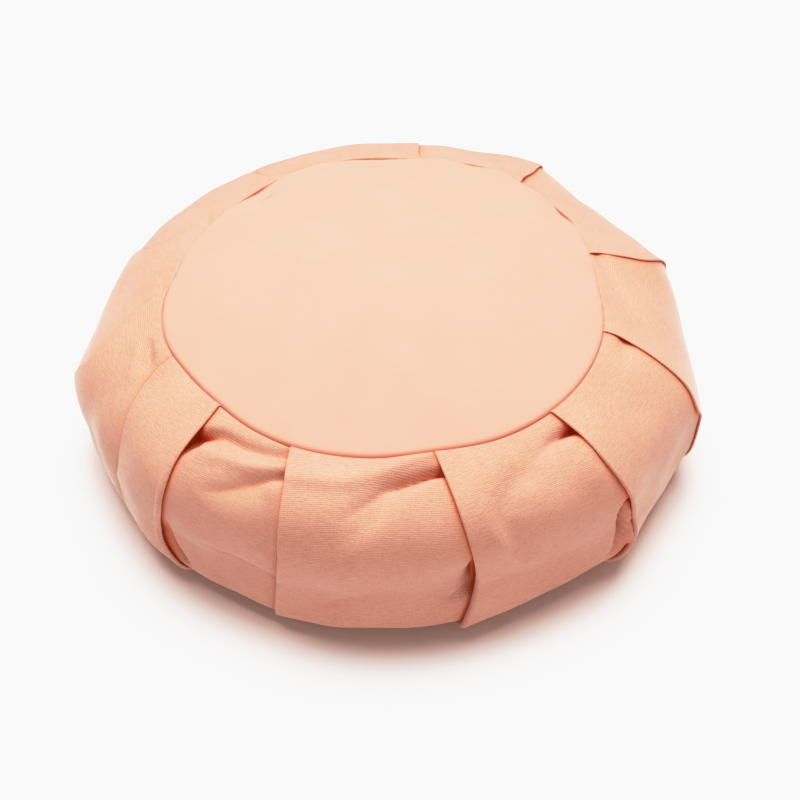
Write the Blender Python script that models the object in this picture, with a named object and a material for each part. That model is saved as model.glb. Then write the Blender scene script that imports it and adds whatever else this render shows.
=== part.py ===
"""A round meditation cushion: two cloth discs joined by a knife-pleated side band, filled firm.

Angles run anticlockwise from above, from 0 at the front (-Y). A share of the side runs from 0 at the
top seam, over the shoulder and the waist, to 1 at the bottom seam. Heights "off the body" are
measured outward from the smooth form that the filled band would have without its folds.
"""

from collections import namedtuple
from functools import lru_cache

import bmesh
import bpy
import numpy as np

MM = 0.001

WAIST_RADIUS = 181 * MM
WAIST_HEIGHT = 45 * MM
UPPER_RISE = 84 * MM  # half-axis of the ellipse that the side follows above the waist
LOWER_DROP = 56 * MM  # the same below it
SEAM_RATIO = 0.667  # both seams' mean radius as a share of the waist's
TOP_SHIFT = (-2.4 * MM, -9.3 * MM)  # the top disc sits a little off the waist's centre
CROWN = 13 * MM

CLOTH = 2 * MM
CLEAR = 0.3 * MM
RIM_ROLL = 4 * MM  # width of the rounded edge of the top disc
RIM_DROP = 1.5 * MM
SEWN_STEP = 3 * MM  # how far a fold stands off the cloth it covers, where both are sewn down
SEWN_TUCK = 1.2 * MM  # how far the cloth runs in under a fold there
TUCK = 5 * MM  # the same at the waist
LIP_SHARE = 0.6  # of the step at a fold, the share that is the folded cloth itself
NOSE_SHARE = 0.25  # of a tuck's depth, the part that the fold's rounded edge takes

# How wide both seams are, by angle: the pleats draw them into an uneven round.
SeamRow = namedtuple("SeamRow", "angle radius_mm")
SEAM = (
    SeamRow(11, 117.4),
    SeamRow(43, 121.0),
    SeamRow(63, 120.0),
    SeamRow(90, 115.6),
    SeamRow(118, 121.2),
    SeamRow(148, 124.9),
    SeamRow(176, 119.2),
    SeamRow(216, 117.8),
    SeamRow(241, 115.7),
    SeamRow(267, 119.8),
    SeamRow(287, 122.8),
    SeamRow(315, 118.8),
    SeamRow(354, 119.3),
)

# The folds: the angle of each fold's edge at five places down the side, then how far off the body,
# in mm at the waist, lie its edge, the cloth that it covers and the middle of the panel after it.
# Each fold covers the end of the panel before it. The flap is the band's own end instead: it
# belongs to the panel before it and laps over the panel after it.
PLACES = (0.0, 0.06, 0.3, 0.47, 1.0)
Fold = namedtuple("Fold", "name seam shoulder upper waist foot edge covered middle")
FOLDS = (
    Fold("front_left", -23, -21, -19, -18, -21, 2.0, -4.5, -1.0),
    Fold("front_right", 11, 12, 14, 12, 9, 1.8, -2.5, -2.7),
    Fold("right_front", 42, 43, 45, 44, 41, 3.0, -3.0, -4.0),
    Fold("right", 75, 75, 74, 72, 72, 1.5, -4.0, -4.2),
    Fold("right_back", 105, 106, 108, 109, 106, 2.5, -1.8, -2.5),
    Fold("back_right", 140, 143, 145, 146, 142, 5.0, 1.0, 3.8),
    Fold("back", 171, 172, 173, 174, 172, 4.0, 0.6, 2.8),
    Fold("back_left", 205, 206, 207, 208, 205, 3.5, 0.2, -0.5),
    Fold("left_back", 239, 238, 243, 245, 240, 1.5, -2.0, -3.8),
    Fold("left", 268, 274, 277, 276, 272, 2.8, -3.2, -2.6),
    Fold("left_front", 293, 294, 300, 302, 300, -2.0, -6.0, -1.2),
    Fold("flap", 315, 315, 316, 318, 320, 1.5, -3.2, -4.2),
)

# The main creases: soft troughs over a panel, named by the fold that it starts at, each from one
# place to another as an angle and a share of the side.
Crease = namedtuple("Crease", "panel angle share to_angle to_share depth_mm width_mm")
CREASES = (
    Crease("flap", -44, 0.10, -36, 0.045, 4.5, 8),
    Crease("flap", -36, 0.045, -20, 0.05, 2.5, 6),
    Crease("flap", -19, 0.08, -35, 0.20, 3.5, 8),
    Crease("front_left", 14, 0.05, -4, 0.12, 4.0, 9),
    Crease("front_left", -4, 0.12, -9, 0.26, 2.5, 13),
    Crease("front_left", 15, 0.40, 7, 0.52, 3.0, 11),
    Crease("front_right", 45, 0.055, 34, 0.09, 3.0, 8),
    Crease("front_right", 27, 0.18, 25, 0.50, 2.0, 14),
    Crease("left", -75, 0.05, -65, 0.09, 2.5, 9),
)

# The solids' sections: shares of the side, of a panel's width between its folds and of a disc.
SIDE_ROWS = (0, 0.02, 0.05, 0.085, 0.13, 0.19, 0.26, 0.34, 0.43, 0.52, 0.61, 0.71, 0.81, 0.91, 0.97, 1)
PANEL_COLUMNS = (0.03, 0.1, 0.2, 0.32, 0.45, 0.58, 0.71, 0.83, 0.94)
DISC_RINGS = (0.3, 0.6, 0.85, 0.96)
DISC_ANGLES = np.arange(0, 360, 6)
SEAT_RATIO = 0.998  # where the seat for a disc starts in the band's body
EDGE_RATIO = 0.993  # the disc's own edge, clear of the seat

PEACH = (0.89, 0.46, 0.29)


def ease(share):
    """A smooth step from 0 to 1."""
    return 0.5 - 0.5 * np.cos(np.pi * np.clip(share, 0, 1))


def seam_radius(angle):
    """A seam's radius at an angle in degrees."""
    angles = [row.angle for row in SEAM]
    radii = [row.radius_mm * MM for row in SEAM]
    return np.interp(angle, angles, radii, period=360)


def side_turns():
    """The ellipse's turn, and the length of cloth run, at close steps from seam to seam."""
    turns = np.linspace(np.arccos(SEAM_RATIO), -np.arccos(SEAM_RATIO), 400)
    heights = np.where(turns > 0, UPPER_RISE, LOWER_DROP) * np.sin(turns)
    steps = np.hypot(np.diff(np.cos(turns)) * WAIST_RADIUS, np.diff(heights))
    return turns, np.concatenate([[0], np.cumsum(steps)])


SIDE_LENGTH = side_turns()[1][-1]


@lru_cache(maxsize=None)
def side_profile(share):
    """Radius as a share of the waist's, height over the waist, and the outward normal's two parts."""
    turns, run = side_turns()
    turn = np.interp(share * SIDE_LENGTH, run, turns)
    half_axis = UPPER_RISE if turn > 0 else LOWER_DROP
    out, up = np.cos(turn) / WAIST_RADIUS, np.sin(turn) / half_axis
    return np.cos(turn), half_axis * np.sin(turn), out / np.hypot(out, up), up / np.hypot(out, up)


def side_point(angle, share, off):
    """A point on the side, from an angle, a share of the way down, and how far off the body it is."""
    ratio, height, out, up = side_profile(share)
    seamward = (1 - ratio) / (1 - SEAM_RATIO)
    uneven = seam_radius(angle) - WAIST_RADIUS * SEAM_RATIO
    radius = WAIST_RADIUS * ratio + seamward * uneven + off * out
    lean = max(height, 0) / (UPPER_RISE * np.sqrt(1 - SEAM_RATIO**2))
    x = radius * np.sin(np.radians(angle)) + lean * TOP_SHIFT[0]
    y = -radius * np.cos(np.radians(angle)) + lean * TOP_SHIFT[1]
    return x, y, WAIST_HEIGHT + height + off * up


def fold_angle(fold, share):
    stations = (fold.seam, fold.shoulder, fold.upper, fold.waist, fold.foot)
    return np.interp(share, PLACES, stations)


def eased_off(waist_mm, sewn, share):
    """A height off the body that eases from its value at the waist to the sewn layers at the seams."""
    return sewn + np.sin(np.pi * share) ** 0.7 * (waist_mm * MM - sewn)


def crease_depth(panel, angle, share):
    """How far the creases draw a panel's cloth in at one place."""
    radius = WAIST_RADIUS * (1 + SEAM_RATIO) / 2
    depth = 0
    for crease in CREASES:
        if crease.panel != panel.name:
            continue
        turn = np.radians((angle - crease.angle + 180) % 360 - 180)
        here = np.array([turn * radius, (share - crease.share) * SIDE_LENGTH])
        turned = np.radians(crease.to_angle - crease.angle)
        run = np.array([turned * radius, (crease.to_share - crease.share) * SIDE_LENGTH])
        along = np.clip(here @ run / (run @ run), 0, 1)
        away = np.linalg.norm(here - along * run) / (crease.width_mm * MM)
        depth = max(depth, crease.depth_mm * MM * np.exp(-2 * away**2))
    return depth


def covered_off(fold, panel, angle, share):
    """Where the cloth lies that a fold covers: the given panel's, with its creases."""
    return eased_off(fold.covered, 0, share) - crease_depth(panel, angle, share)


def panel_off(fold, after, across, angle, share):
    """Where a panel's cloth lies, from its own fold to where it runs in under the next."""
    start = fold.covered if fold.name == "flap" else fold.edge
    end = after.edge if after.name == "flap" else after.covered
    high = eased_off(start, 0 if fold.name == "flap" else SEWN_STEP, share)
    middle = eased_off(fold.middle, 0.3 * SEWN_STEP, share)
    low = eased_off(end, SEWN_STEP if after.name == "flap" else 0, share)
    off = high + (middle - high) * ease(across / 0.45) + (low - middle) * ease((across - 0.55) / 0.45)
    return off - crease_depth(fold, angle, share)


def fold_hook(fold, before, share):
    """Points round a fold's edge, from the covered cloth out to the covering one: angles and offs."""
    edge_angle = fold_angle(fold, share)
    covered = covered_off(fold, fold if fold.name == "flap" else before, edge_angle, share)
    top = eased_off(fold.edge, SEWN_STEP, share)
    lip = LIP_SHARE * (top - eased_off(fold.covered, 0, share))
    tuck = SEWN_TUCK + (TUCK - SEWN_TUCK) * np.sqrt(np.sin(np.pi * share))
    inward = np.degrees(tuck / (side_profile(share)[0] * WAIST_RADIUS))
    nose = NOSE_SHARE * inward
    hook = [
        (edge_angle + 0.3 * nose, covered),
        (edge_angle + inward, covered - 0.1 * lip),
        (edge_angle + inward, (covered + top - lip) / 2),
        (edge_angle + 0.6 * nose, top - lip),
        (edge_angle, top - 0.55 * lip),
        (edge_angle + 0.5 * nose, top - 0.1 * lip),
    ]
    if fold.name == "flap":
        return [(2 * edge_angle - angle, off) for angle, off in reversed(hook)]
    return hook


def side_section(share):
    """One closed section round the side, as points, starting at the first fold."""
    points = []
    for before, fold, after in zip((FOLDS[-1], *FOLDS), FOLDS, (*FOLDS[1:], FOLDS[0])):
        points += [side_point(angle, share, off) for angle, off in fold_hook(fold, before, share)]
        start, width = fold_angle(fold, share), (fold_angle(after, share) - fold_angle(fold, share)) % 360
        for across in PANEL_COLUMNS:
            angle = start + across * width
            points.append(side_point(angle, share, panel_off(fold, after, across, angle, share)))
    return points


def inner_angles():
    """The same columns as a side section's, at angles that only rise, for the rings inside it."""
    angles = []
    for fold, after in zip(FOLDS, (*FOLDS[1:], FOLDS[0])):
        width = (after.seam - fold.seam) % 360
        angles += [fold.seam + turn for turn in np.linspace(-0.4, 0.4, 6)]
        angles += [fold.seam + across * width for across in PANEL_COLUMNS]
    return np.array(angles)


def disc_height(ratio):
    """The top disc's outer face over the seam, at a share of its radius."""
    seam = WAIST_RADIUS * SEAM_RATIO
    roll = np.clip(1 - (1 - ratio) * seam / RIM_ROLL, 0, 1)
    return CROWN * (1 - ratio**2) + RIM_DROP * (1 - roll**2)


SEAM_HEIGHT = WAIST_HEIGHT + side_profile(0)[1]


def ring(angles, ratio, height, centre=(0, 0)):
    """A ring of the seam's outline at a share of its radius."""
    radii, turns = seam_radius(angles) * ratio, np.radians(angles)
    x, y = centre[0] + radii * np.sin(turns), centre[1] - radii * np.cos(turns)
    return [(*point, height) for point in zip(x, y)]


def top_ring(angles, ratio, under=0):
    """A ring on the top disc's outer face, or so far under it."""
    return ring(angles, ratio, SEAM_HEIGHT + disc_height(ratio) - under, TOP_SHIFT)


def top_middle(under=0):
    return (*TOP_SHIFT, SEAM_HEIGHT + disc_height(0) - under)


def loft(mesh, sections, first_tip, last_tip):
    """Faces between closed sections of equal count, and a fan to a point at either end."""
    loops = [[mesh.verts.new(point) for point in section] for section in sections]
    count = len(loops[0])
    for upper, lower in zip(loops, loops[1:]):
        for k in range(count):
            after = (k + 1) % count
            mesh.faces.new((upper[k], lower[k], lower[after], upper[after]))
    start, end = mesh.verts.new(first_tip), mesh.verts.new(last_tip)
    for k in range(count):
        after = (k + 1) % count
        mesh.faces.new((start, loops[0][k], loops[0][after]))
        mesh.faces.new((end, loops[-1][after], loops[-1][k]))


def new_piece(name, mesh, collection):
    bmesh.ops.triangulate(mesh, faces=mesh.faces)
    data = bpy.data.meshes.new(name)
    mesh.to_mesh(data)
    mesh.free()
    data.shade_smooth()
    data.set_sharp_from_angle(angle=np.radians(50))
    piece = bpy.data.objects.new(name, data)
    collection.objects.link(piece)
    return piece


def add_canvas(piece, name):
    """Plain dyed cotton canvas."""
    material = bpy.data.materials.new(name)
    material.use_nodes = True
    shader = material.node_tree.nodes["Principled BSDF"]
    shader.inputs["Base Color"].default_value = (*PEACH, 1)
    shader.inputs["Roughness"].default_value = 0.9
    shader.inputs["Metallic"].default_value = 0
    piece.data.materials.append(material)


def make_band(collection):
    """The pleated band as one filled solid, with a shallow seat for each disc inside its seams."""
    angles, under = inner_angles(), CLOTH + CLEAR
    sections = [top_ring(angles, ratio, under) for ratio in (*DISC_RINGS, SEAT_RATIO)]
    sections += [side_section(share) for share in SIDE_ROWS]
    sections += [ring(angles, ratio, under) for ratio in (SEAT_RATIO, 0.7, 0.3)]
    mesh = bmesh.new()
    loft(mesh, sections, top_middle(under), (0, 0, under))
    band = new_piece("pleated_band", mesh, collection)
    add_canvas(band, "band canvas")
    return band


def make_top(collection):
    """The crowned top disc, a sheet with its edge rolled down towards the seam."""
    outer = [top_ring(DISC_ANGLES, ratio) for ratio in (*DISC_RINGS, 0.98, EDGE_RATIO)]
    inner = [top_ring(DISC_ANGLES, ratio, CLOTH) for ratio in (EDGE_RATIO, *DISC_RINGS[::-1])]
    mesh = bmesh.new()
    loft(mesh, [*outer, *inner], top_middle(), top_middle(CLOTH))
    top = new_piece("top_panel", mesh, collection)
    add_canvas(top, "top disc canvas")
    return top


def make_bottom(collection):
    """The bottom disc, a flat sheet that lies on the surface."""
    outline = bpy.data.curves.new("bottom_panel", "CURVE")
    outline.dimensions = "2D"
    outline.fill_mode = "BOTH"
    outline.extrude = CLOTH / 2
    spline = outline.splines.new("POLY")
    edge = ring(DISC_ANGLES, EDGE_RATIO, 0)
    spline.points.add(len(edge) - 1)
    for point, place in zip(spline.points, edge):
        point.co = (*place, 1)
    spline.use_cyclic_u = True
    bottom = bpy.data.objects.new("bottom_panel", outline)
    bottom.location.z = CLOTH / 2
    collection.objects.link(bottom)
    add_canvas(bottom, "bottom disc canvas")
    return bottom


def centre_over_origin(pieces, band):
    """Moves the pieces level, so that the middle of the band's box is over the origin."""
    points = np.array([vertex.co for vertex in band.data.vertices])
    middle = (points.min(axis=0) + points.max(axis=0)) / 2
    for piece in pieces:
        piece.location.x -= middle[0]
        piece.location.y -= middle[1]


for old in list(bpy.data.objects):
    bpy.data.objects.remove(old, do_unlink=True)

cushion = bpy.data.collections.new("zafu_cushion")
bpy.context.scene.collection.children.link(cushion)

body = make_band(cushion)
centre_over_origin([body, make_top(cushion), make_bottom(cushion)], body)
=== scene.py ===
"""A round meditation cushion, rebuilt for a photograph: two canvas discs and a knife-pleated side band.

The file follows the cushion as it is put together: the pleated side band, the top and bottom discs
that are sewn to it, and then the floor, the light and the camera.
"""

from collections import namedtuple

import bpy
import numpy as np
from mathutils import Matrix, Vector


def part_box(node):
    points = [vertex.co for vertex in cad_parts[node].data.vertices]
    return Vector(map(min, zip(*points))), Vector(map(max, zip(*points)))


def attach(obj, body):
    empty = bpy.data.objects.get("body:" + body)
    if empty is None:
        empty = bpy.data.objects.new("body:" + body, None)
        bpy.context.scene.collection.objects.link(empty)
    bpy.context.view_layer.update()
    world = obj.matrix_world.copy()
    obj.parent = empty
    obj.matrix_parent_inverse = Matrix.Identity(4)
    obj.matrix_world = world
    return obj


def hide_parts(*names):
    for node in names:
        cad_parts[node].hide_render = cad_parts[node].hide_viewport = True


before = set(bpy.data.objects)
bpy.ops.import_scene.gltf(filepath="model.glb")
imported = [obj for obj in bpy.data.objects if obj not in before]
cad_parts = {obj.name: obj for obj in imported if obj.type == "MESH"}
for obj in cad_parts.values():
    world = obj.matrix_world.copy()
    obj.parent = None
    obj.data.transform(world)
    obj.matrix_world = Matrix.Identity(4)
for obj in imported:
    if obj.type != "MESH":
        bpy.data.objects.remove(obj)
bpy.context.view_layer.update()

# ---------------------------------------------------------------------------------------------------
# The side band: one strip of medium cotton canvas, laid in twelve knife pleats, its top and bottom
# edges sewn to the two discs. The filling rounds it out, the pleats are caught flat in the seams and
# ease open towards the waist, and each panel's cloth runs in under the fold of the next.
#
# Angles are degrees anticlockwise from above, from 0 at the front. A share of the side is 0 at the
# top seam and 1 at the bottom one. "Off" is how far cloth stands off the body's smooth form.

MM = 0.001
WAIST_RADIUS = 181 * MM
WAIST_HEIGHT = 45 * MM
TOP_SEAM, BOTTOM_SEAM = 107.6 * MM, 3.3 * MM  # heights over the floor
SEAM_RATIO = 0.667  # both seams' mean radius as a share of the waist's
TOP_SHIFT = (-2.4 * MM, -9.3 * MM)  # the top disc sits a little off the waist's centre

# The curve of the side: its fullest radius, how high and at what share of the side that lies, and how
# square the curve is above and below it, where 2 is an ellipse.
Profile = namedtuple("Profile", "radius height share above below")
ROUND = Profile(WAIST_RADIUS, WAIST_HEIGHT, share=0.529, above=2.7, below=6)
# The front has slumped to a steeper wall, fullest low down. It reaches so many degrees either way and
# eases into the round over so many more, and where the two meet the body stands out a little.
FRONT = Profile(165 * MM, 20 * MM, share=0.685, above=5.4, below=3.9)
FRONT_REACH, FRONT_SPREAD = 20, 64
CORNER, CORNER_SPREAD, CORNER_SWELL = 50, 15, 1.5 * MM

# The seams aren't true circles: the seam's radius in mm at angles round it.
SEAM_ANGLES = (-6, 11, 27, 43, 63, 75, 90, 106, 118, 133, 148, 160, 176, 191, 216, 231, 241, 252)
SEAM_ANGLES += (262, 273, 287, 302, 315, 326, 337)
SEAM_RADII = (119.6, 117.6, 120.4, 121, 120, 118.7, 115.6, 118, 121.2, 121.8, 124.9, 122.6, 119.2)
SEAM_RADII += (120.4, 117.8, 115.9, 115.7, 117.8, 117.8, 121.2, 122.8, 119.7, 118.8, 120.4, 120.9)

SHARES = (0, 0.04, 0.10, 0.20, 0.30, 0.40, 0.50, 0.60, 0.70, 0.80, 1.0)
# A fold's edge as angles at those shares; in mm, at the waist, how far off the body its edge lies,
# how far off the middle of the panel after it lies, how thick its rounded edge is and how far it is
# open; and how much thicker the edge rolls at its foot, as a share.
Fold = namedtuple("Fold", "name line edge middle thick open foot")
FOLDS = (
    Fold("front left", (-22.9, -22.2, -21, -20, -19.6, -19.8, -20.5, -21.2, -21.8, -21.9, -21.5),
         edge=2, middle=1.2, thick=1.6, open=1, foot=0.4),
    Fold("front right", (10.8, 11.3, 11.9, 12.8, 13.6, 14.2, 14.5, 13.7, 12.4, 11, 10),
         edge=2.2, middle=-0.6, thick=2.2, open=1, foot=1.2),
    Fold("right front", (41.8, 42.2, 42.5, 42.9, 44, 45.1, 46, 46.8, 45, 42.5, 41),
         edge=3, middle=-5, thick=2.2, open=1, foot=0.5),
    Fold("right", (73.8, 74.1, 73.3, 72, 71.2, 70.4, 72.9, 72.5, 72.5, 72.2, 72),
         edge=0.3, middle=-9, thick=1.4, open=0.3, foot=0),
    Fold("right back", (104.6, 104.7, 104.3, 103.7, 106.4, 109.3, 110, 108.9, 108.9, 107.5, 106),
         edge=0.5, middle=-9, thick=1.3, open=0.3, foot=0),
    Fold("back right", (139.7, 140.8, 141.2, 142.9, 144.5, 145.8, 146, 145.9, 145.9, 143.9, 142),
         edge=1.8, middle=-1.5, thick=2, open=0.4, foot=0),
    Fold("back", (169.9, 171.1, 171.8, 172.5, 173.2, 173.9, 174, 174, 174, 173, 172),
         edge=-1.5, middle=-2.5, thick=1.4, open=0.2, foot=0),
    Fold("back left", (208.2, 211.2, 214.3, 213.7, 214.5, 215.8, 216, 214.9, 214.9, 213.4, 212),
         edge=-4, middle=-5.5, thick=0.9, open=0.1, foot=0),
    Fold("left back", (239.4, 242, 246.2, 249, 247.1, 247.8, 248, 246.9, 246.9, 244.9, 243),
         edge=-5.5, middle=-7.5, thick=1.2, open=0.2, foot=0),
    Fold("left", (268.4, 270.9, 274.7, 279.7, 281.6, 279.1, 276.5, 275.9, 275.9, 273.9, 272),
         edge=0.5, middle=-0.5, thick=0.8, open=0.1, foot=0),
    Fold("left front", (293.9, 294.3, 296, 299.5, 302.1, 303.3, 302.1, 301.5, 301.5, 300.8, 300),
         edge=-2.5, middle=1, thick=0.7, open=0.1, foot=0),
    Fold("flap", (315.2, 315.8, 316.4, 316.9, 317.4, 316.9, 315.6, 315.4, 317.3, 320, 320),
         edge=2.5, middle=-0.5, thick=1.6, open=0.9, foot=0),
)
FLAP = "flap"  # the strip's own hemmed end: it laps over the panel after it, the other way round

SEWN_STEP = 1.7 * MM  # how far a fold stands off the cloth it covers, at most, where both are sewn down
SEWN_TUCK = 2.5 * MM  # how far the cloth is modelled running in under a fold, at the seams
TUCK = 9 * MM  # and at the waist

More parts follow.
